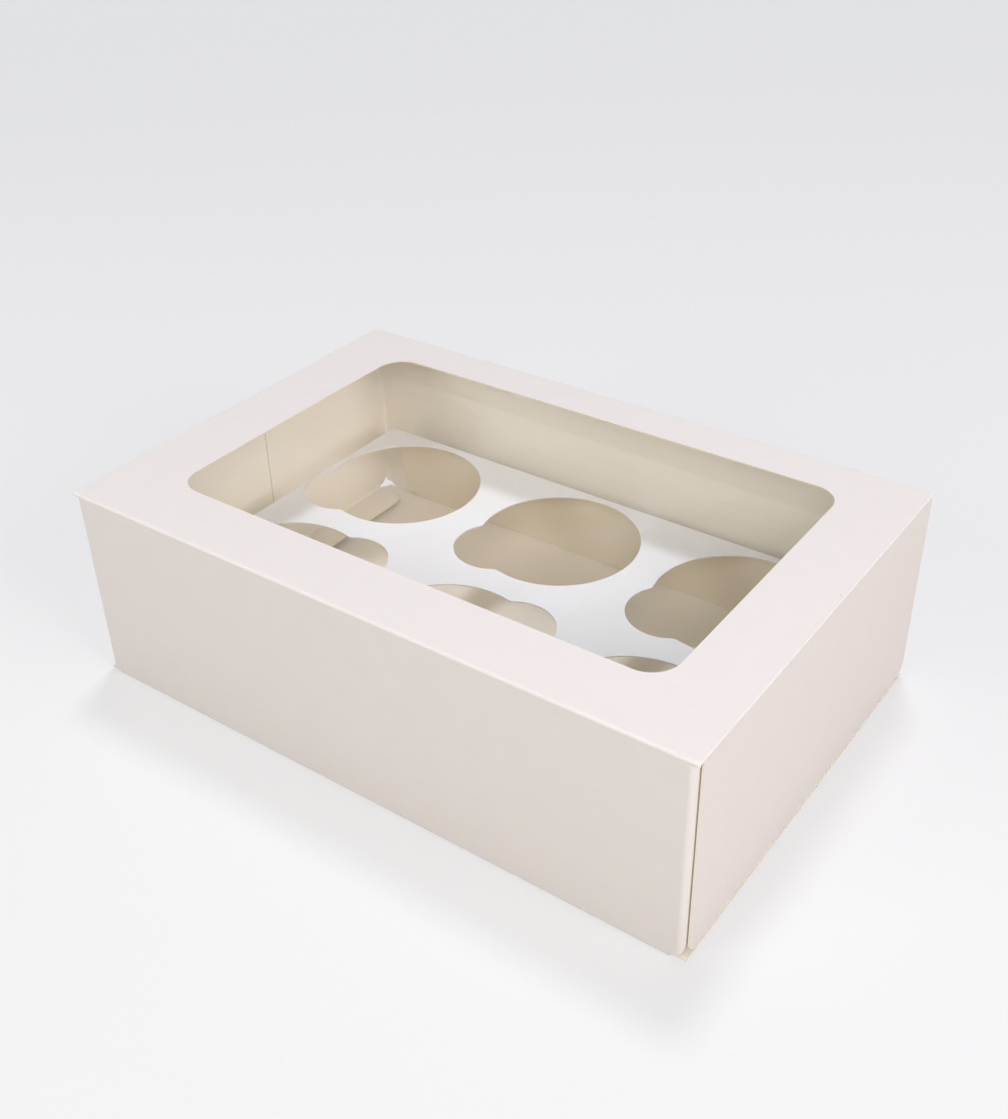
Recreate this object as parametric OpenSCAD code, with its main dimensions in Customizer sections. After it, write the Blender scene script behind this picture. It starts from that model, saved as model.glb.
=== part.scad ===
// Windowed cupcake box: a folded tube carton with a tuck flap at each end,
// a clear film behind the window, and a folded insert that holds the cups.
// The origin is at the middle of the underside, +X runs along the length,
// +Y runs to the back, and +Z is up.

/* [Box] */
// Outside length, from end to end
box_l = 240; // [200:1:320]
// Outside depth, from front to back
box_w = 160; // [140:1:220]
// Outside height
box_h = 75; // [60:1:110]
// Thickness of the folding boxboard
card_t = 0.5; // [0.4:0.05:0.7]
// Outer radius of the four long creases
crease_r = 1; // [0.9:0.1:2]
// Width of the glued lap inside the back wall
glue_lap_w = 12; // [8:1:20]
// How far each end of the glued lap slopes in
glue_lap_slope = 6; // [2:1:12]

/* [Window] */
// Board left between each end of the box and the window
window_end_margin = 24.5; // [18:0.5:45]
// Board left in front of the window
window_front_margin = 24; // [16:0.5:40]
// Board left behind the window
window_back_margin = 17; // [16:0.5:40]
// Corner radius of the window
window_corner_r = 10; // [4:0.5:20]
// Border of film that is glued around the window
film_border = 8; // [4:0.5:12]
// Thickness of the clear film
film_t = 0.2; // [0.1:0.05:0.4]

/* [Dust flaps] */
// Length of a dust flap from the corner of the box to its free edge
dust_flap_l = 88; // [60:1:110]
// Outer radius of the fold that carries a dust flap
dust_fold_r = 2; // [1.5:0.1:3]
// Height of a dust flap's lower edge above the bottom creases
dust_relief_low = 4; // [3:0.5:8]
// Height of a dust flap's upper edge below the top creases
dust_relief_high = 0.1; // [0.1:0.1:3]
// How far each long edge of a dust flap slopes in towards the free edge
dust_slope = 2; // [0:0.5:6]
// Radius of a dust flap's free corners
dust_corner_r = 8; // [3:0.5:15]
// Gap between the two dust flaps where they lap
dust_lap_gap = 0.2; // [0.1:0.05:0.5]

/* [End flaps] */
// Distance from the front and back walls to an end flap's side edges
end_flap_inset = 2.2; // [1.5:0.1:5]
// Gap between an end flap and the dust flap behind it
end_flap_gap = 0.5; // [0.3:0.1:1.5]
// Gap between an end flap's upper edge and the underside of the top
hinge_gap = 0.05; // [0.02:0.01:0.2]
// Height of the tuck crease above the bottom panel
tuck_clear = 0.3; // [0.2:0.05:1]
// Outer radius of the tuck crease
tuck_crease_r = 1.2; // [0.9:0.1:2]
// Radius of an end flap's lower corners
end_flap_corner_r = 4; // [2:0.5:8]
// Length of the tuck past its crease
tuck_l = 16; // [10:1:24]
// How far each side edge of the tuck slopes in
tuck_slope_in = 5; // [2:0.5:10]
// Radius of the tuck's free corners
tuck_corner_r = 7; // [3:0.5:9]
// Degrees by which the tuck springs up past what it needs to swing clear
tuck_spring = 2; // [1:0.5:6]

/* [Cup insert] */
// Height of the insert's top above the bottom panel
insert_h = 36.5; // [25:0.5:50]
// Distance from the box's ends to the ends of the insert
insert_end_gap = 14.5; // [8:0.5:25]
// Distance from the front and back of the box to the insert's creases
insert_side_gap = 10; // [6:0.5:16]
// Outer radius of the insert's creases
insert_crease_r = 1; // [0.9:0.1:2]
// Gap between the foot of each leg and the glued lap or wall beside it
foot_gap = 0.3; // [0.2:0.1:1]
// Gap between the feet and the bottom panel
foot_lift = 0.05; // [0.02:0.01:0.2]
// Radius of the corners of each leg
leg_corner_r = 6; // [3:0.5:12]
// Diameter of a cup hole
cup_d = 60; // [50:1:62]
// Least board between neighbouring cup holes
cup_neck = 6; // [6:0.5:12]
// Board between the end holes and the ends of the insert
cup_end_strip = 2.5; // [2:0.5:8]
// Board between the front holes and the insert's front crease
cup_front_strip = 5.5; // [3:0.5:8]
// Board between the back holes and the insert's back crease
cup_back_strip = 3.5; // [3:0.5:8]
// Radius of the finger ear beside each cup hole
ear_r = 15; // [12:0.5:17]
// Distance of an ear's centre from the hole's centre, along X and along Y
ear_offset = 17; // [15:0.5:19]
// Radius that blunts the points where ear and hole meet
ear_blend_r = 2; // [1:0.5:4]

/* [Hidden] */
$fn = 72;
// Overrun that carries a cut cleanly past a face
cut = 1;

box_x = box_l / 2;
box_y = box_w / 2;
under_top_z = box_h - card_t;

window_l = box_l - 2 * window_end_margin;
window_w = box_w - window_front_margin - window_back_margin;
// Middle of the window along Y
window_y = (window_front_margin - window_back_margin) / 2;

// An end flap's outer face is flush with the end of the box, and two dust flaps
// lie behind it. The outer one comes from the front wall at the right-hand end
// and from the back wall at the left-hand end.
end_flap_in_x = box_x - card_t;
outer_dust_x = end_flap_in_x - end_flap_gap;
inner_dust_x = outer_dust_x - card_t - dust_lap_gap;
// Length of wall that a dust flap's section shares with the tube
dust_wall_lap = dust_fold_r;

end_flap_y = box_y - end_flap_inset;
hinge_z = under_top_z;
tuck_low_z = card_t + tuck_clear;
tuck_axis_z = tuck_low_z + tuck_crease_r;
tuck_axis_x = box_x - tuck_crease_r;
// The tuck rises just enough for its tip to pass over the bottom panel as the
// flap swings about its upper edge.
tuck_drop = hinge_z - tuck_low_z;
tuck_rise = asin((tuck_l / 2 + tuck_crease_r) / tuck_drop) + tuck_spring;
// Angle through which the board turns at the tuck crease
tuck_turn = 90 + tuck_rise;
// Height of the corner that the crease rounds off, length from it to the tip,
// and the height up to which the tuck's section takes in the flap's face
tuck_corner_z = tuck_axis_z - tuck_crease_r * tan(tuck_turn / 2);
tuck_end = tuck_crease_r * tan(tuck_turn / 2) + tuck_l;
tuck_strip_z = tuck_axis_z + end_flap_corner_r;
tuck_root_y = end_flap_y - end_flap_corner_r;

floor_z = card_t;
insert_top_z = floor_z + insert_h;
insert_l = box_l - 2 * insert_end_gap;
insert_crease_y = box_y - insert_side_gap;
foot_y = box_y - 2 * card_t - foot_gap;
foot_z = floor_z + foot_lift;
// The legs spread until their feet stand beside the walls.
leg_splay = atan2(foot_y - insert_crease_y, insert_top_z - foot_z);

cup_r = cup_d / 2;
// How far a blunting circle reaches into hole and ear, so that it meets them
// at a slight angle
blend_bite = 0.03;
cup_span_x = insert_l - 2 * cup_end_strip - cup_d;
cup_span_y = 2 * insert_crease_y - cup_front_strip - cup_back_strip - cup_d;
// Middle of the rows of holes
cup_middle_y = (cup_front_strip - cup_back_strip) / 2;
cup_columns = floor(cup_span_x / (cup_d + cup_neck)) + 1;
cup_rows = floor(cup_span_y / (cup_d + cup_neck)) + 1;

function unit(v) = v / norm(v);

// Place of item i in a row of n that spreads evenly over a span
function spread(i, n, span) = n == 1 ? 0 : span * (i / (n - 1) - 0.5);

// The waste outside a radius r at corner p, whose sides run towards a and b
module corner_waste(a, p, b, r) {
    u = unit(a - p);
    v = unit(b - p);
    half = acos(u * v) / 2;
    bisector = unit(u + v);
    centre = p + bisector * r / sin(half);
    difference() {
        polygon([p - bisector * r, p + u * r / tan(half), centre, p + v * r / tan(half)]);
        translate(centre) circle(r);
    }
}

// A convex outline with its own radius at each corner, or 0 for a sharp one
module rounded_outline(points, radii) {
    n = len(points);
    difference() {
        polygon(points);
        for (i = [0 : n - 1])
            if (radii[i] > 0)
                corner_waste(points[(i + n - 1) % n], points[i], points[(i + 1) % n], radii[i]);
    }
}

// A rectangle about the origin with equal corner radii
module rounded_rectangle(l, w, r) {
    square([l - 2 * r, w], center = true);
    square([l, w - 2 * r], center = true);
    for (x = [-1, 1], y = [-1, 1])
        translate([x * (l / 2 - r), y * (w / 2 - r)]) circle(r);
}

// Sections drawn in Y and Z, drawn out along X over a length about the middle
module along_x(l) {
    rotate([90, 0, 90]) linear_extrude(l, center = true) children();
}

// Sections drawn in X and Z, drawn out along Y over a length about the middle
module along_y(l) {
    rotate([90, 0, 0]) linear_extrude(l, center = true) children();
}

// The plan of a front dust flap: a strip of wall, the fold and the flap
module dust_plan(x) {
    free_y = dust_flap_l - box_y;
    wall_x = x - dust_relief_low - dust_wall_lap;
    difference() {
        rounded_outline(
            [[wall_x, -box_y], [x, -box_y], [x, free_y], [wall_x, free_y]],
            [0, dust_fold_r, 0, 0]
        );
        rounded_outline(
            [
                [wall_x - cut, card_t - box_y], [x - card_t, card_t - box_y],
                [x - card_t, free_y + cut], [wall_x - cut, free_y + cut]
            ],
            [0, dust_fold_r - card_t, 0, 0]
        );
    }
}

// One dust flap and its fold at the right-hand end. The outer face is at x,
// and the flap comes from the front wall.
module front_dust_flap(x) {
    low_z = crease_r;
    high_z = box_h - crease_r - dust_relief_high;
    flap_low_z = low_z + dust_relief_low;
    fold_y = dust_fold_r - box_y;
    free_y = dust_flap_l - box_y;
    difference() {
        translate([0, 0, low_z]) linear_extrude(high_z - low_z) dust_plan(x);
        // The lower corner, seen from the front
        translate([0, fold_y - dust_fold_r, 0])
            along_y(2 * dust_fold_r)
                corner_waste([-box_x, low_z], [x, low_z], [x, box_h], dust_relief_low);
        // The board round the flap, seen from the end
        translate([x, 0, 0])
            along_x(dust_fold_r)
                difference() {
                    translate([fold_y, 0]) square([free_y - fold_y + cut, box_h]);
                    rounded_outline(
                        [
                            [fold_y - cut, flap_low_z], [fold_y, flap_low_z],
                            [free_y, flap_low_z + dust_slope],
                            [free_y, high_z - dust_slope],
                            [fold_y, high_z], [fold_y - cut, high_z]
                        ],
                        [0, 0, dust_corner_r, dust_corner_r, 0, 0]
                    );
                }
    }
}

// A cut through the end of a wall, back from a dust flap's outer face at x by
// a length and up to a height
module wall_end_cut(x, back, high) {
    translate([-back, 0, 0]) cube([box_x - x + back + cut, crease_r + cut, high + cut]);
}

// The four walls of the tube, with the window cut in the top. At both ends the
// front and back walls stop short, where the dust flaps fold away. The bottom
// creases stop with them, and the top and its creases run on over the folds.
module tube() {
    difference() {
        along_x(box_l)
            translate([0, box_h / 2])
                difference() {
                    rounded_rectangle(box_w, box_h, crease_r);
                    rounded_rectangle(box_w - 2 * card_t, box_h - 2 * card_t, crease_r - card_t);
                }
        translate([0, window_y, under_top_z - cut])
            linear_extrude(card_t + 2 * cut)
                rounded_rectangle(window_l, window_w, window_corner_r);
        for (end = [0, 180], wall = [[0, outer_dust_x], [1, inner_dust_x]])
            rotate(end)
                mirror([0, wall[0], 0])
                    translate([wall[1], -box_y - cut, -cut]) {
                        wall_end_cut(wall[1], dust_fold_r, box_h - crease_r);
                        wall_end_cut(wall[1], dust_relief_low, crease_r + dust_relief_low);
                    }
        for (end = [-1, 1])
            along_y(box_w + 2 * cut)
                corner_waste([0, box_h], [end * box_x, box_h], [end * box_x, 0], card_t);
    }
}

// The glued lap that joins the back wall to the bottom panel. It is drawn from
// halfway through the wall, so that lap and wall are one solid.
module glue_lap() {
    low_x = inner_dust_x - dust_fold_r;
    wall_middle_y = box_y - card_t / 2;
    translate([0, wall_middle_y, 0])
        rotate([90, 0, 0])
            linear_extrude(card_t / 2 + card_t)
                polygon([
                    [-low_x, crease_r], [low_x, crease_r],
                    [low_x - glue_lap_slope, crease_r + glue_lap_w],
                    [glue_lap_slope - low_x, crease_r + glue_lap_w]
                ]);
}

// The whole carton sheet: tube, glued lap and the four folded dust flaps
module carton() {
    color("#f4eff0") {
        tube();
        glue_lap();
        for (end = [0, 180])
            rotate(end) {
                front_dust_flap(outer_dust_x);
                mirror([0, 1, 0]) front_dust_flap(inner_dust_x);
            }
    }
}

// The clear film glued to the underside of the top, over the window
module window_film() {
    color("#dfeaf2")
        translate([0, window_y, under_top_z - film_t])
            linear_extrude(film_t)
                square([window_l + 2 * film_border, window_w + 2 * film_border], center = true);
}

// A cup hole with its ear towards +X, and the points between them blunted
module cup_hole() {
    reach = ear_offset * sqrt(2);
    far = cup_r + ear_blend_r - blend_bite;
    near = ear_r + ear_blend_r - blend_bite;
    point_x = (far * far - near * near + reach * reach) / (2 * reach);
    point_y = sqrt(far * far - point_x * point_x);
    circle(cup_r);
    translate([reach, 0]) circle(ear_r);
    for (side = [-1, 1])
        difference() {
            polygon([[0, 0], [point_x, side * point_y], [reach, 0]]);
            translate([point_x, side * point_y]) circle(ear_blend_r);
        }
}

// The section of the insert: its flat top, two creases and two spread legs
module insert_section() {
    // Thickness of a leg along Y
    leg_y = card_t / cos(leg_splay);
    slope = tan(leg_splay);
    difference() {
        rounded_outline(
            [
                [-foot_y, foot_z], [-insert_crease_y, insert_top_z],
                [insert_crease_y, insert_top_z], [foot_y, foot_z]
            ],
            [0, insert_crease_r, insert_crease_r, 0]
        );
        inside_low_y = foot_y - leg_y + cut * slope;
        inside_high_y = insert_crease_y - leg_y + card_t * slope;
        rounded_outline(
            [
                [-inside_low_y, foot_z - cut], [-inside_high_y, insert_top_z - card_t],
                [inside_high_y, insert_top_z - card_t], [inside_low_y, foot_z - cut]
            ],
            [0, insert_crease_r - card_t, insert_crease_r - card_t, 0]
        );
    }
}

// The folded insert. The ears of the back row's holes point to the front left,
// and those of the other row to the back right.
module cup_insert() {
    color("#e4e6ec")
        difference() {
            along_x(insert_l) insert_section();
            translate([0, 0, insert_top_z - insert_crease_r - cut])
                linear_extrude(insert_crease_r + 2 * cut)
                    for (i = [0 : cup_columns - 1], j = [0 : cup_rows - 1]) {
                        x = spread(i, cup_columns, cup_span_x);
                        y = cup_middle_y + spread(j, cup_rows, cup_span_y);
                        translate([x, y]) rotate(j == cup_rows - 1 ? 225 : 45) cup_hole();
                    }
            for (end = [-1, 1])
                along_y(box_w)
                    corner_waste(
                        [0, foot_z], [end * insert_l / 2, foot_z],
                        [end * insert_l / 2, insert_top_z], leg_corner_r
                    );
        }
}

// A point of the tuck in X and Z: along it from the corner where its underside
// would meet the flap's face, and up from the underside
function tuck_point(along, up) = [
    box_x - along * cos(tuck_rise) + up * sin(tuck_rise),
    tuck_corner_z + along * sin(tuck_rise) + up * cos(tuck_rise)
];

// The section of the tuck, its crease and the lowest strip of the flap's face
module tuck_section() {
    tip = tuck_point(tuck_end, 0);
    inner_bend = tuck_point(card_t * tan(tuck_turn / 2), card_t);
    difference() {
        rounded_outline(
            [
                [box_x, tuck_corner_z], [box_x, tuck_strip_z],
                [tip[0] + (tuck_strip_z - tip[1]) * tan(tuck_rise), tuck_strip_z], tip
            ],
            [tuck_crease_r, 0, 0, 0]
        );
        rounded_outline(
            [
                inner_bend, [box_x - card_t, tuck_strip_z + tuck_end],
                tuck_point(tuck_end + tuck_l, tuck_end), tuck_point(tuck_end + tuck_l, card_t)
            ],
            [tuck_crease_r - card_t, 0, 0, 0]
        );
    }
}

// An end flap at the right-hand end: its face, then the tuck crease and the
// tuck, which slopes up over the bottom panel.
module end_flap() {
    tip_x = tuck_point(tuck_end, 0)[0];
    translate([box_x - card_t / 2, 0, 0])
        along_x(card_t)
            rounded_outline(
                [
                    [-end_flap_y, tuck_axis_z], [end_flap_y, tuck_axis_z],
                    [end_flap_y, hinge_z - hinge_gap], [-end_flap_y, hinge_z - hinge_gap]
                ],
                [end_flap_corner_r, end_flap_corner_r, 0, 0]
            );
    intersection() {
        along_y(2 * tuck_root_y) tuck_section();
        linear_extrude(box_h)
            rounded_outline(
                [
                    [box_x + cut, -tuck_root_y - cut], [box_x + cut, tuck_root_y + cut],
                    [tuck_axis_x, tuck_root_y], [tip_x, tuck_root_y - tuck_slope_in],
                    [tip_x, tuck_slope_in - tuck_root_y], [tuck_axis_x, -tuck_root_y]
                ],
                [0, 0, 0, tuck_corner_r, tuck_corner_r, 0]
            );
    }
}

module end_flap_right() {
    color("#efe9e8") end_flap();
}

module end_flap_left() {
    color("#efe9e8") mirror([1, 0, 0]) end_flap();
}

carton();
window_film();
cup_insert();
end_flap_right();
end_flap_left();
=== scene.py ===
"""Looks of the windowed cupcake box: its board, its film, the studio and the camera.

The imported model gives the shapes. This script dresses each of its pieces in a
procedural material and sets up a plain pale studio with the camera of the
photograph.
"""

import logging
import math
from dataclasses import dataclass, field
from enum import Enum
from typing import Any

import bpy
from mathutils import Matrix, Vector


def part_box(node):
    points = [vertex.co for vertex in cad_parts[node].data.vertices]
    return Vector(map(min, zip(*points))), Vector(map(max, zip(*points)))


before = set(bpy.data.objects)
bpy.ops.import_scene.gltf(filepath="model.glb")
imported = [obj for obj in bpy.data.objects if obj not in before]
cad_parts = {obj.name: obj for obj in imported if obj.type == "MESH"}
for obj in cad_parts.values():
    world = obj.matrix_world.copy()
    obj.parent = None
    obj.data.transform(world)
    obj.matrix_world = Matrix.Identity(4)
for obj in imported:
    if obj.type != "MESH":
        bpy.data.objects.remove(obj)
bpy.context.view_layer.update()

MM = 0.001
BACKDROP = "#E2E3E5"
# How far a band reaches past a face, in millimetres, against rounding
SLACK_MM = 0.02
# Upper limit of a facing band, just past the 1 of a unit normal
FULLY_FACING = 1.01

LOG = logging.getLogger("cupcake_box")


# Colour and nodes


def linear(colour: str) -> tuple[float, float, float, float]:
    """Turn an sRGB hex colour into the linear colour that shaders take.

    Args:
        colour: Six hex digits after a hash, such as "#F1ECEC".

    Returns:
        Linear red, green and blue, and an alpha of 1.
    """
    channels = [int(colour[i : i + 2], 16) / 255 for i in (1, 3, 5)]
    low_end, slope, offset, power = 0.04045, 12.92, 0.055, 2.4
    red, green, blue = (
        c / slope if c <= low_end else ((c + offset) / (1 + offset)) ** power
        for c in channels
    )
    return red, green, blue, 1.0


def add_node(
    tree: bpy.types.NodeTree,
    kind: str,
    inputs: dict[str | int, Any] | None = None,
    **settings: Any,
) -> bpy.types.Node:
    """Add a node with its settings, values and links.

    Args:
        tree: The node tree that takes the node.
        kind: Blender's name of the node type.
        inputs: By socket name or number, a value or the socket to link from.
        **settings: Attributes of the node, such as its operation.

    Returns:
        The new node.
    """
    node = tree.nodes.new(kind)
    for name, value in settings.items():
        setattr(node, name, value)
    for socket, value in (inputs or {}).items():
        if isinstance(value, bpy.types.NodeSocket):
            tree.links.new(value, node.inputs[socket])
        else:
            node.inputs[socket].default_value = value
    return node


def new_material(name: str) -> tuple[bpy.types.Material, bpy.types.NodeTree]:
    """Make a material with an empty node tree.

    Args:
        name: The material's name.

    Returns:
        The material and its node tree.
    """
    material = bpy.data.materials.new(name)
    material.use_nodes = True
    material.node_tree.nodes.clear()
    return material, material.node_tree


class Channel(Enum):
    """What a band looks at: a place on the piece, or which way the surface faces."""

    ALONG = "x"
    ACROSS = "y"
    HEIGHT = "z"
    FACES_ALONG = "nx"
    FACES_ACROSS = "ny"
    FACES_HEIGHT = "nz"


@dataclass(frozen=True)
class Band:
    """A range of one channel. Places are in millimetres, and only their size counts."""

    channel: Channel
    low: float
    high: float


Zone = tuple[Band, ...]


@dataclass
class SurfaceMap:
    """Where a point of a folded sheet lies, read from its own coordinates.

    Attributes:
        tree: The material's node tree.
        centre_mm: A point that the folded sheet goes round.
        place: The point's coordinates, in metres.
        channels: One socket for each channel.
        outward: 1 where the sheet faces away from the centre, and 0 elsewhere.
    """

    tree: bpy.types.NodeTree
    centre_mm: tuple[float, float, float]
    place: bpy.types.NodeSocket = field(init=False)
    channels: dict[Channel, bpy.types.NodeSocket] = field(init=False)
    outward: bpy.types.NodeSocket = field(init=False)

    def __post_init__(self) -> None:
        """Read the coordinates once for all masks."""
        coordinates = add_node(self.tree, "ShaderNodeTexCoord")
        self.place = coordinates.outputs["Object"]
        normal = coordinates.outputs["Normal"]
        millimetres = self.vector("SCALE", self.place, Scale=1 / MM).outputs[0]
        self.channels = {}
        for source, prefix in ((millimetres, ""), (normal, "n")):
            size = self.vector("ABSOLUTE", source).outputs[0]
            parts = add_node(self.tree, "ShaderNodeSeparateXYZ", {0: size})
            for number, letter in enumerate("xyz"):
                self.channels[Channel(prefix + letter)] = parts.outputs[number]
        from_centre = self.vector("SUBTRACT", millimetres, self.centre_mm).outputs[0]
        facing = self.vector("DOT_PRODUCT", from_centre, normal).outputs["Value"]
        self.outward = self.maths("GREATER_THAN", facing, 0.0)

    def vector(self, operation: str, *values: Any, **named: Any) -> bpy.types.Node:
        """Add a vector operation on numbered and named inputs.

        Args:
            operation: Blender's name of the operation.
            *values: Vectors or sockets, in order.
            **named: Values of sockets that go by name.

        Returns:
            The node.
        """
        inputs = {**dict(enumerate(values)), **named}
        return add_node(self.tree, "ShaderNodeVectorMath", inputs, operation=operation)

    def maths(self, operation: str, *values: Any) -> bpy.types.NodeSocket:
        """Work out one number.

        Args:
            operation: Blender's name of the operation.
            *values: Numbers or sockets, in order.

        Returns:
            The result's socket.
        """
        inputs = dict(enumerate(values))
        return add_node(self.tree, "ShaderNodeMath", inputs, operation=operation).outputs[0]

    def zones(self, zones: tuple[Zone, ...]) -> bpy.types.NodeSocket:
        """Find the points that lie in any of some zones.

        Args:
            zones: Each zone holds bands that all have to match.

        Returns:
            A socket that is 1 in the zones and 0 elsewhere.
        """
        found = None
        for zone in zones:
            inside = None
            for band in zone:
                middle = (band.low + band.high) / 2
                reach = (band.high - band.low) / 2
                match = self.maths("COMPARE", self.channels[band.channel], middle, reach)
                inside = match if inside is None else self.maths("MULTIPLY", inside, match)
            found = inside if found is None else self.maths("MAXIMUM", found, inside)
        return found

    def noise(self, size_mm: tuple[float, float, float], detail: float) -> bpy.types.NodeSocket:
        """Draw a cloudy pattern of a real size.

        Args:
            size_mm: Size of one cloud along X, Y and Z.
            detail: How many finer layers lie over it.

        Returns:
            A socket that goes from 0 to 1.
        """
        per_metre = tuple(1 / (size * MM) for size in size_mm)
        scaled = self.vector("MULTIPLY", self.place, per_metre).outputs[0]
        inputs = {"Vector": scaled, "Scale": 1.0, "Detail": detail}
        return add_node(self.tree, "ShaderNodeTexNoise", inputs).outputs["Fac"]

    def spread(self, value: Any, low: float, high: float) -> bpy.types.NodeSocket:
        """Stretch a pattern from 0 to 1 over another range.

        Args:
            value: The pattern.
            low: What 0 becomes.
            high: What 1 becomes.

        Returns:
            The stretched socket.
        """
        inputs = {"Value": value, "To Min": low, "To Max": high}
        return add_node(self.tree, "ShaderNodeMapRange", inputs).outputs["Result"]

    def blend(self, share: Any, first: Any, second: Any) -> bpy.types.NodeSocket:
        """Mix two colours.

        Args:
            share: How much of the second colour shows, as a number or socket.
            first: A linear colour or a socket.
            second: A linear colour or a socket.

        Returns:
            The mixed colour's socket.
        """
        inputs = {0: share, 6: first, 7: second}
        return add_node(self.tree, "ShaderNodeMix", inputs, data_type="RGBA").outputs[2]

    def tint(self, colour: Any, amount: Any) -> bpy.types.NodeSocket:
        """Multiply a colour by a number.

        Args:
            colour: The colour's socket.
            amount: A number or socket.

        Returns:
            The new colour's socket.
        """
        return self.vector("SCALE", colour, Scale=amount).outputs[0]


# Finishes


@dataclass(frozen=True)
class FoldingBoard:
    """Folding boxboard: clay-coated white outside, bare cream pulp inside, die-cut edges.

    The coating is calendered, so the outside is smooth with a faint sheen and a
    soft mottle where the pulp shows through. The inside is duller, creamier and
    a little fibrous. The cut edges show the pulp. Along the creases the colour is
    drawn slightly paler: partly whitened, stretched coating, partly a painted highlight.

    Attributes:
        name: The material's name.
        outside: Colour of the coated side.
        inside: Colour of the bare side.
        edge: Colour of a cut edge.
        centre_mm: A point that the folded sheet goes round.
        edges: Zones that are cut edges.
        creases: Zones that are creased. They are drawn paler, partly as whitened
        coating and partly as a painted highlight.
        laps: Zones beside a lapping flap's edge. They are drawn darker, in place
            of the shadow in its gap, which is too fine to show.
        grain: Size of a fibre along X, Y and Z, in millimetres, drawn coarser
            than the real 1 mm by 0.03 mm so that it shows.
    """

    name: str
    outside: str
    inside: str
    edge: str
    centre_mm: tuple[float, float, float]
    edges: tuple[Zone, ...]
    creases: tuple[Zone, ...]
    laps: tuple[Zone, ...] = ()
    grain: tuple[float, float, float] = (1.6, 0.5, 0.5)
    coated_roughness: float = 0.6
    bare_roughness: float = 0.85
    coated_relief_mm: float = 0.006
    bare_relief_mm: float = 0.03
    mottle_mm: float = 7.0
    mottle_detail: float = 3.0
    mottle_depth: float = 0.018
    fibre_detail: float = 2.0
    fibre_depth: float = 0.03
    crease_whitening_and_highlight: float = 0.01
    lap_shade: float = -0.3
    # Refractive index of clay coating and cellulose
    ior: float = 1.5

    def build(self) -> bpy.types.Material:
        """Make the board's material.

        Returns:
            The material.
        """
        material, tree = new_material(self.name)
        surface = SurfaceMap(tree, self.centre_mm)
        edge_mask = surface.zones(self.edges)
        coated = surface.maths(
            "MULTIPLY", surface.outward, surface.maths("SUBTRACT", 1.0, edge_mask)
        )
        colour = surface.blend(surface.outward, linear(self.inside), linear(self.outside))
        colour = surface.blend(edge_mask, colour, linear(self.edge))
        mottle = surface.noise((self.mottle_mm,) * 3, self.mottle_detail)
        fibres = surface.noise(self.grain, self.fibre_detail)
        shade = surface.spread(mottle, 1 - self.mottle_depth, 1 + self.mottle_depth)
        bare = surface.maths("SUBTRACT", 1.0, coated)
        depth = surface.maths("MULTIPLY", bare, self.fibre_depth)
        centred = surface.spread(fibres, -1.0, 1.0)
        shade = surface.maths("MULTIPLY_ADD", centred, depth, shade)
        # Creases get paler lines, partly a painted highlight, and laps a strip of painted
        # shadow
        marks = ((self.creases, self.crease_whitening_and_highlight), (self.laps, self.lap_shade))
        for zones, change in marks:
            if zones:
                shade = surface.maths("MULTIPLY_ADD", surface.zones(zones), change, shade)
        colour = surface.tint(colour, shade)
        roughness = surface.spread(coated, self.bare_roughness, self.coated_roughness)
        relief = surface.spread(coated, self.bare_relief_mm, self.coated_relief_mm)
        height = surface.maths("MULTIPLY", fibres, relief)
        bump = add_node(
            tree, "ShaderNodeBump", {"Height": height, "Distance": MM, "Strength": 1.0}
        )
        shader = add_node(
            tree,
            "ShaderNodeBsdfPrincipled",
            {
                "Base Color": colour,
                "Roughness": roughness,
                "Normal": bump.outputs[0],
                "IOR": self.ior,
            },
        )
        add_node(tree, "ShaderNodeOutputMaterial", {"Surface": shader.outputs[0]})
        return material


@dataclass(frozen=True)
class ClearFilm:
    """Cast polyester film: clear, glossy and very thin, with a faint waviness.

    It shows what lies behind it almost unchanged and lets the lamps through. A
    soft reflection lies over it where it faces a bright wall.
    """

    name: str = "clear_polyester_film"
    colour: str = "#F7FAFC"
    # Typical of polyester film
    ior: float = 1.575
    roughness: float = 0.04
    # Share of the film that shows as glass, against plain see-through
    body: float = 0.06
    wave_mm: float = 45.0
    wave_detail: float = 1.0
    wave_height_mm: float = 0.15

    def build(self) -> bpy.types.Material:
        """Make the film's material.

        Returns:
            The material.
        """
        material, tree = new_material(self.name)
        surface = SurfaceMap(tree, (0.0, 0.0, 0.0))
        waves = surface.noise((self.wave_mm,) * 3, self.wave_detail)
        height = surface.maths("MULTIPLY", waves, self.wave_height_mm)
        bump = add_node(
            tree, "ShaderNodeBump", {"Height": height, "Distance": MM, "Strength": 1.0}
        )
        shader = add_node(
            tree,
            "ShaderNodeBsdfPrincipled",
            {
                "Base Color": linear(self.colour),
                "Roughness": self.roughness,
                "IOR": self.ior,
                "Transmission Weight": 1.0,
                "Alpha": self.body,
                "Normal": bump.outputs[0],
            },
        )
        add_node(tree, "ShaderNodeOutputMaterial", {"Surface": shader.outputs[0]})
        return material


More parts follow.
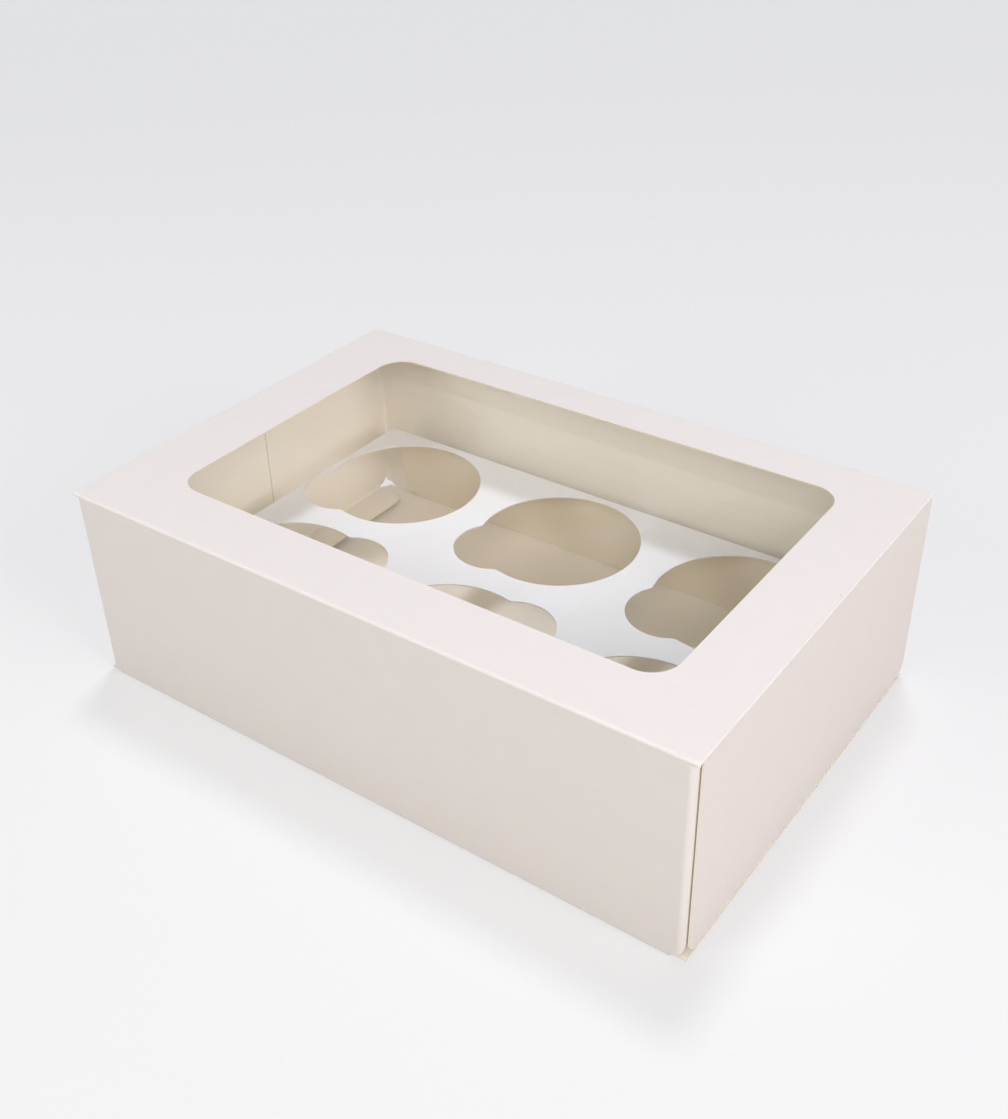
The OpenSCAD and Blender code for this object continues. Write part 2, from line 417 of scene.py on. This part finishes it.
@dataclass(frozen=True)
class StudioPaper:
    """Seamless background paper: plain, pale and matt, a little greyer far off.

    The camera sees it pale. It throws back less and warmer light than it would,
    so that the walls of the box come out as deep as in the photograph.
    """

    name: str = "seamless_paper"
    near: str = "#EFEFF1"
    far: str = "#EDEDEF"
    bounce: str = "#C6C4BE"
    near_m: float = -0.15
    far_m: float = 0.35
    grain_mm: float = 2.0
    grain_detail: float = 2.0
    grain_depth: float = 0.005
    roughness: float = 0.9
    # Share of its colour that the camera sees in full shade, as on a lit backdrop
    glow: float = 0.5
    # Where the paper's colour starts to fade into the backdrop's, and where the fade ends
    sweep_start_m: float = 0.5
    sweep_end_m: float = 1.7

    def build(self) -> bpy.types.Material:
        """Make the paper's material.

        Returns:
            The material.
        """
        material, tree = new_material(self.name)
        surface = SurfaceMap(tree, (0.0, 0.0, 0.0))
        parts = add_node(tree, "ShaderNodeSeparateXYZ", {0: surface.place})
        distance = add_node(
            tree,
            "ShaderNodeMapRange",
            {"Value": parts.outputs[1], "From Min": self.near_m, "From Max": self.far_m},
            interpolation_type="SMOOTHSTEP",
        )
        colour = surface.blend(distance.outputs[0], linear(self.near), linear(self.far))
        fibres = surface.noise((self.grain_mm,) * 3, self.grain_detail)
        grain = surface.spread(fibres, 1 - self.grain_depth, 1 + self.grain_depth)
        colour = surface.tint(colour, grain)
        reach = surface.vector("LENGTH", surface.place).outputs["Value"]
        sweep = add_node(
            tree,
            "ShaderNodeMapRange",
            {"Value": reach, "From Min": self.sweep_start_m, "From Max": self.sweep_end_m},
            interpolation_type="SMOOTHSTEP",
        ).outputs[0]
        colour = surface.blend(sweep, colour, linear(BACKDROP))
        glow = surface.maths("MULTIPLY_ADD", sweep, 1 - self.glow, self.glow)
        lit = surface.tint(colour, surface.maths("SUBTRACT", 1.0, glow))
        seen = add_node(tree, "ShaderNodeLightPath").outputs["Is Camera Ray"]
        shader = add_node(
            tree,
            "ShaderNodeBsdfPrincipled",
            {
                "Base Color": surface.blend(seen, linear(self.bounce), lit),
                "Roughness": self.roughness,
                "Specular IOR Level": 0.0,
                "Emission Color": colour,
                "Emission Strength": surface.maths("MULTIPLY", seen, glow),
            },
        )
        add_node(tree, "ShaderNodeOutputMaterial", {"Surface": shader.outputs[0]})
        return material


# The object


@dataclass
class PackedPiece:
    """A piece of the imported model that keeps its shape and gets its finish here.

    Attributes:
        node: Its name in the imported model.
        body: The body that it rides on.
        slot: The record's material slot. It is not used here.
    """

    node: str
    body: str
    slot: str

    def finish(self) -> bpy.types.Material:
        """Give the piece's material. Each kind of piece has its own."""
        raise NotImplementedError

    def dress(self) -> bpy.types.Object:
        """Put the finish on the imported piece.

        Returns:
            The dressed object.
        """
        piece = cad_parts[self.node]
        material = self.finish()
        for slot in piece.material_slots:
            slot.material = material
        low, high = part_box(self.node)
        size = tuple(round((b - a) / MM, 1) for a, b in zip(low, high))
        LOG.info("%s on %s in %s, %s mm", self.node, self.body, material.name, size)
        return piece


@dataclass
class Board:
    """Colours and sizes that all sheets of the carton share."""

    coated: str = "#ECE5E5"
    bare: str = "#FCF5EA"
    cut: str = "#F2E9D2"
    thickness: float = 0.5


@dataclass
class Carton(PackedPiece):
    """The folded tube of the box, with its dust flaps and the cut-out window."""

    board: Board = field(default_factory=Board)
    length: float = 240.0
    width: float = 160.0
    height: float = 75.0
    crease_r: float = 1.0
    # Where the dust flaps' folds and faces start, along X
    fold_start: float = 116.2
    face_start: float = 117.3
    # The dust flaps' folds reach this far in from the walls
    fold_depth: float = 2.1
    # The outer dust flap's inner face, and where the inner one ends on it
    outer_flap_x: float = 118.5
    lap_y: float = 8.0
    lap_width: float = 1.1
    # How near to that face a point has to lie
    lap_reach: float = 0.1
    # Cut edges face along the sheet by more than this
    edge_facing: float = 0.5
    # Board that is left at the ends of the top, less a little
    window_end: float = 20.0

    def finish(self) -> bpy.types.Material:
        """Give the carton's board, with its own cut edges and creases.

        Returns:
            The material.
        """
        half_width = self.width / 2
        thick = self.board.thickness
        sideways = Band(Channel.FACES_HEIGHT, 0.0, self.edge_facing)
        flat_of_panel = Band(Channel.ACROSS, 0.0, half_width - self.crease_r - SLACK_MM)
        top = Band(Channel.HEIGHT, self.height - thick - SLACK_MM, self.height)
        in_window = Band(Channel.ALONG, 0.0, self.length / 2 - self.window_end)
        long_crease = Band(Channel.ACROSS, half_width - self.crease_r, half_width)
        dust_flap = (
            Band(Channel.ALONG, self.face_start, self.length / 2),
            Band(Channel.FACES_ALONG, 0.0, self.edge_facing),
            Band(Channel.ACROSS, 0.0, half_width - self.fold_depth),
            Band(Channel.HEIGHT, 2 * thick, self.height - 2 * thick),
        )
        # A strip of painted shadow on the outer dust flap's inner face, beside the inner flap's
        # edge
        lap = (
            Band(
                Channel.ALONG,
                self.outer_flap_x - self.lap_reach,
                self.outer_flap_x + self.lap_reach,
            ),
            Band(Channel.ACROSS, self.lap_y, self.lap_y + self.lap_width),
        )
        return FoldingBoard(
            name="clay_coated_boxboard",
            outside=self.board.coated,
            inside=self.board.bare,
            edge=self.board.cut,
            centre_mm=(0.0, 0.0, self.height / 2),
            edges=((sideways, flat_of_panel, top, in_window), dust_flap),
            # The creases are drawn paler: partly whitened coating, partly a painted highlight
            creases=(
                (long_crease, Band(Channel.HEIGHT, self.height - self.crease_r, self.height)),
                (long_crease, Band(Channel.HEIGHT, 0.0, self.crease_r)),
                (
                    Band(Channel.ALONG, self.fold_start, self.length / 2),
                    Band(Channel.ACROSS, half_width - self.fold_depth, half_width),
                ),
            ),
            laps=(lap,),
        ).build()


@dataclass
class EndFlap(PackedPiece):
    """An end flap with the tuck that holds it closed."""

    board: Board = field(default_factory=Board)
    height: float = 75.0
    # Outer face of the flap, and how far in its bends reach from there
    face_x: float = 120.0
    bend_x: float = 118.5
    bend_height: float = 2.0
    # The tuck lies further in than this
    tuck_x: float = 116.0
    # Side edges and the tuck's edge face out by more than these
    side_facing: float = 0.4
    tuck_facing: float = 0.5
    # The sheet's fibres run across the flap
    grain: tuple[float, float, float] = (0.5, 1.6, 0.5)

    def finish(self) -> bpy.types.Material:
        """Give the flap's board, with its own cut edges and creases.

        Returns:
            The material.
        """
        return FoldingBoard(
            name=f"clay_coated_boxboard_{self.body}",
            outside=self.board.coated,
            inside=self.board.bare,
            edge=self.board.cut,
            centre_mm=(0.0, 0.0, self.height / 2),
            edges=(
                (Band(Channel.FACES_ACROSS, self.side_facing, FULLY_FACING),),
                (
                    Band(Channel.FACES_ALONG, self.tuck_facing, FULLY_FACING),
                    Band(Channel.ALONG, 0.0, self.tuck_x),
                ),
            ),
            # The bend is drawn paler: partly whitened coating, partly a painted highlight
            creases=(
                (
                    Band(Channel.HEIGHT, 0.0, self.bend_height),
                    Band(Channel.ALONG, self.bend_x, self.face_x),
                ),
            ),
            grain=self.grain,
        ).build()


@dataclass
class CupInsert(PackedPiece):
    """The folded insert with its eared cup holes."""

    top: float = 37.0
    thickness: float = 0.5
    crease_y: float = 70.0
    # The crease's line reaches this far in and out, and the flat ends before it
    crease_in: float = 0.7
    crease_out: float = 0.4
    flat_margin: float = 1.0
    # Cut edges of the holes face sideways by more than this, and the ends along
    hole_facing: float = 0.6
    end_facing: float = 0.5
    roughness: float = 0.7
    white: str = "#FAFAFD"
    # Its bare side, drawn deeper and warmer than the carton's bare board: painted shade of the
    # closed space under the insert
    bare: str = "#F6EBD8"
    cut: str = "#EEE6D6"

    def finish(self) -> bpy.types.Material:
        """Give the insert's board: a cooler white than the carton's, with its bare side drawn
        deeper and warmer as painted shade.

        Returns:
            The material.
        """
        near_top = Band(Channel.HEIGHT, self.top - self.thickness - SLACK_MM, self.top)
        crease = Band(
            Channel.ACROSS, self.crease_y - self.crease_in, self.crease_y + self.crease_out
        )
        return FoldingBoard(
            name="white_lined_insert_board",
            outside=self.white,
            inside=self.bare,
            edge=self.cut,
            centre_mm=(0.0, 0.0, self.top / 2),
            edges=(
                (
                    Band(Channel.FACES_HEIGHT, 0.0, self.hole_facing),
                    near_top,
                    Band(Channel.ACROSS, 0.0, self.crease_y - self.flat_margin),
                ),
                (Band(Channel.FACES_ALONG, self.end_facing, FULLY_FACING),),
            ),
            # The crease is drawn paler: partly whitened coating, partly a painted highlight
            creases=((crease, near_top),),
            coated_roughness=self.roughness,
        ).build()


@dataclass
class WindowFilm(PackedPiece):
    """The clear film behind the window."""

    def finish(self) -> bpy.types.Material:
        """Give the film's material."""
        return ClearFilm().build()


@dataclass
class CupcakeBox:
    """The whole box, piece by piece."""

    pieces: tuple[PackedPiece, ...] = (
        Carton("carton", "box", "boxboard"),
        CupInsert("cup_insert", "box", "insert_boxboard"),
        WindowFilm("window_film", "box", "clear_film"),
        EndFlap("end_flap_right", "right_end", "flap_boxboard"),
        EndFlap("end_flap_left", "left_end", "flap_boxboard"),
    )

    def build(self) -> None:
        """Dress every piece."""
        for piece in self.pieces:
            piece.dress()


# The studio


@dataclass(frozen=True)
class SoftLamp:
    """A round softbox that faces the middle of the box.

    Attributes:
        name: The lamp's name.
        place: Where it hangs, in metres.
        size: Its diameter in metres, which sets how soft its shadows are.
        level: Share of full white that it gives a surface that faces it.
        colour: Its colour.
    """

    name: str
    place: tuple[float, float, float]
    size: float
    level: float
    colour: str = "#FFFFFF"

    def build(self) -> bpy.types.Object:
        """Hang the lamp.

        Returns:
            The lamp's object.
        """
        data = bpy.data.lights.new(self.name, "AREA")
        data.shape = "DISK"
        data.size = self.size
        place = Vector(self.place)
        # A flat lamp of power P lights what faces it at a distance d with
        # P / (pi d d), and white shows as white at pi.
        data.energy = self.level * math.pi * math.pi * place.length_squared
        data.color = linear(self.colour)[:3]
        lamp = bpy.data.objects.new(self.name, data)
        lamp.location = place
        lamp.rotation_mode = "QUATERNION"
        lamp.rotation_quaternion = place.to_track_quat("Z", "Y")
        bpy.context.scene.collection.objects.link(lamp)
        return lamp


@dataclass
class Studio:
    """A pale paper floor, a soft surround and soft lamps."""

    floor_half: float = 30.0
    surround: str = "#F4F3F0"
    surround_level: float = 0.35
    lamps: tuple[SoftLamp, ...] = (
        SoftLamp("overhead_softbox", (-0.85, 1.9, 6.0), 1.2, 0.35, "#F4F7FF"),
        SoftLamp("front_softbox", (-0.5, -1.3, 0.68), 0.8, 0.24, "#FBFEF6"),
        SoftLamp("right_softbox", (1.38, -0.2, 0.72), 0.9, 0.405, "#FFFAF8"),
        SoftLamp("camera_side_softbox", (0.8, -1.05, 1.1), 0.8, 0.24, "#FEFBF3"),
    )

    def floor(self) -> bpy.types.Object:
        """Lay the paper that the box stands on.

        Returns:
            The floor's object.
        """
        half = self.floor_half
        corners = [(-half, -half, 0), (half, -half, 0), (half, half, 0), (-half, half, 0)]
        mesh = bpy.data.meshes.new("paper_floor")
        mesh.from_pydata(corners, [], [(0, 1, 2, 3)])
        mesh.materials.append(StudioPaper().build())
        paper = bpy.data.objects.new("paper_floor", mesh)
        bpy.context.scene.collection.objects.link(paper)
        return paper

    def world(self) -> bpy.types.World:
        """Make the surround: soft light, with the backdrop's colour for the camera.

        Returns:
            The world.
        """
        world = bpy.data.worlds.new("studio_surround")
        world.use_nodes = True
        tree = world.node_tree
        tree.nodes.clear()
        light = {"Color": linear(self.surround), "Strength": self.surround_level}
        soft = add_node(tree, "ShaderNodeBackground", light)
        backdrop = {"Color": linear(BACKDROP), "Strength": 1.0}
        seen = add_node(tree, "ShaderNodeBackground", backdrop)
        path = add_node(tree, "ShaderNodeLightPath")
        mix = add_node(
            tree,
            "ShaderNodeMixShader",
            {0: path.outputs["Is Camera Ray"], 1: soft.outputs[0], 2: seen.outputs[0]},
        )
        add_node(tree, "ShaderNodeOutputWorld", {"Surface": mix.outputs[0]})
        bpy.context.scene.world = world
        return world

    def build(self) -> None:
        """Set up floor, surround and lamps."""
        self.floor()
        self.world()
        for lamp in self.lamps:
            lamp.build()
            LOG.info("lamp %s at %.2f", lamp.name, lamp.level)
        bpy.context.scene.view_settings.view_transform = "Standard"


@dataclass
class PhotoCamera:
    """The camera at the photograph's place, solved from the box's straight edges."""

    place_mm: tuple[float, float, float] = (233.6, -316.4, 311.1)
    turn_deg: tuple[float, float, float] = (56.233, 1.093, 35.529)
    lens_mm: float = 49.0
    sensor_mm: float = 36.0
    clip_m: tuple[float, float] = (0.01, 100.0)

    def build(self) -> bpy.types.Object:
        """Set up the camera.

        Returns:
            The camera's object.
        """
        data = bpy.data.cameras.new("photo_camera")
        data.lens = self.lens_mm
        data.sensor_fit = "HORIZONTAL"
        data.sensor_width = self.sensor_mm
        data.clip_start, data.clip_end = self.clip_m
        camera = bpy.data.objects.new("photo_camera", data)
        camera.location = Vector(self.place_mm) * MM
        camera.rotation_euler = tuple(math.radians(angle) for angle in self.turn_deg)
        bpy.context.scene.collection.objects.link(camera)
        bpy.context.scene.camera = camera
        return camera


def main() -> None:
    """Build the box, the studio and the camera."""
    logging.basicConfig(level=logging.INFO, format="%(name)s: %(message)s")
    PhotoCamera().build()
    CupcakeBox().build()
    Studio().build()


if __name__ == "__main__":
    main()
